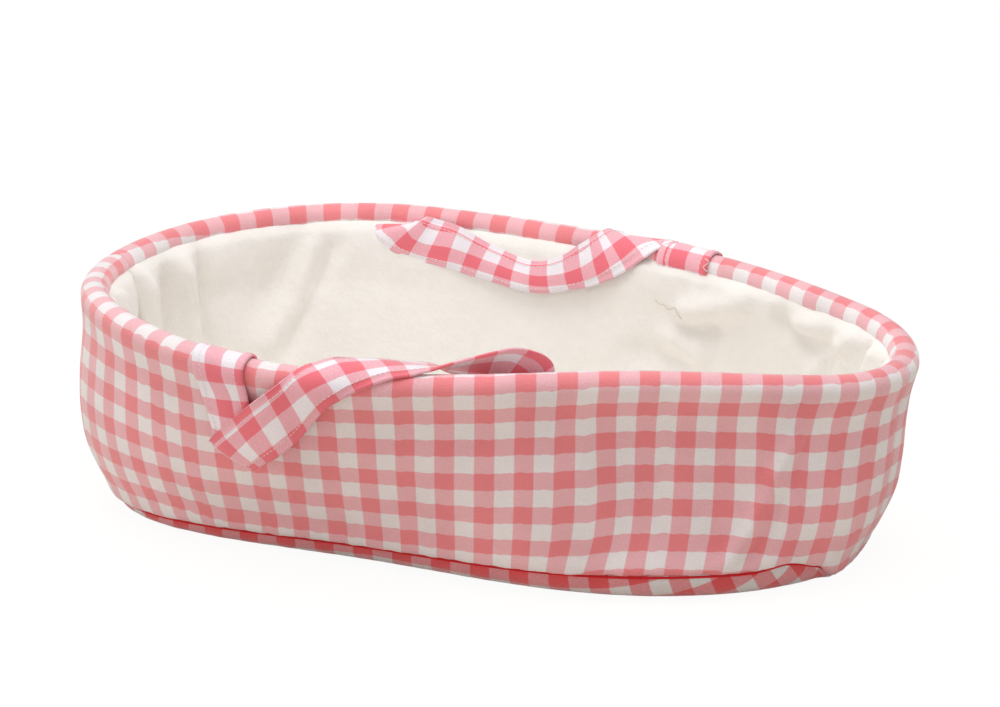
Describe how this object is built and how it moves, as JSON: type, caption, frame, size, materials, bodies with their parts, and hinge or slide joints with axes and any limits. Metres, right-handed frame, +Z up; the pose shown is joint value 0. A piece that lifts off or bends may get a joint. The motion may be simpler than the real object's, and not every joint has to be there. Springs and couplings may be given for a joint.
{
  "type": "soft doll carrycot",
  "caption": "Soft egg-shaped doll carrycot in coral gingham with a fleece lining, a padded rim roll and two strap handles.",
  "frame": {"origin": "on the surface it rests on, below the middle of the mouth's length", "axes": "+Z up, +X along the length towards the narrow foot end, -Y towards the side whose handle hangs outside"},
  "size_m": [0.435, 0.2859, 0.1223],
  "materials": {
    "wall_gingham": "woven cotton, coral and white check",
    "strap_gingham": "woven cotton, coral and white check",
    "fleece": "brushed ivory fleece",
    "wadding": "matt polyester wadding",
    "board": "plain hardboard",
    "spring_wire": "drawn spring steel",
    "crimp_sleeve": "drawn tube"
  },
  "bodies": {
    "root": {"outer_wall_far": "wall_gingham", "outer_wall_near": "wall_gingham", "wall_wadding_far": "wadding", "wall_wadding_near": "wadding", "lining_wall_far": "fleece", "lining_wall_near": "fleece", "base_cover": "wall_gingham", "base_wadding": "wadding", "base_board": "board", "lining_floor": "fleece", "rim_wire": "spring_wire", "rim_wire_sleeve": "crimp_sleeve", "rim_roll_padding": "wadding", "near_handle_head_end": "strap_gingham", "near_handle_foot_end": "strap_gingham", "far_handle_head_end": "strap_gingham", "far_handle_foot_end": "strap_gingham"},
    "near_handle": {"near_handle_strap": "strap_gingham"},
    "far_handle": {"far_handle_strap": "strap_gingham"}
  },
  "joints": [
    {"name": "near_handle_swing", "type": "hinge", "parent": "root", "child": "near_handle", "pos_m": [-0.1157, -0.1268, 0.1215], "axis": [-0.9971, -0.0761, 0], "range_deg": [0, 165]},
    {"name": "far_handle_swing", "type": "hinge", "parent": "root", "child": "far_handle", "pos_m": [-0.09614, 0.13088, 0.1215], "axis": [-0.9897, 0.143, 0], "range_deg": [0, 165]}
  ]
}
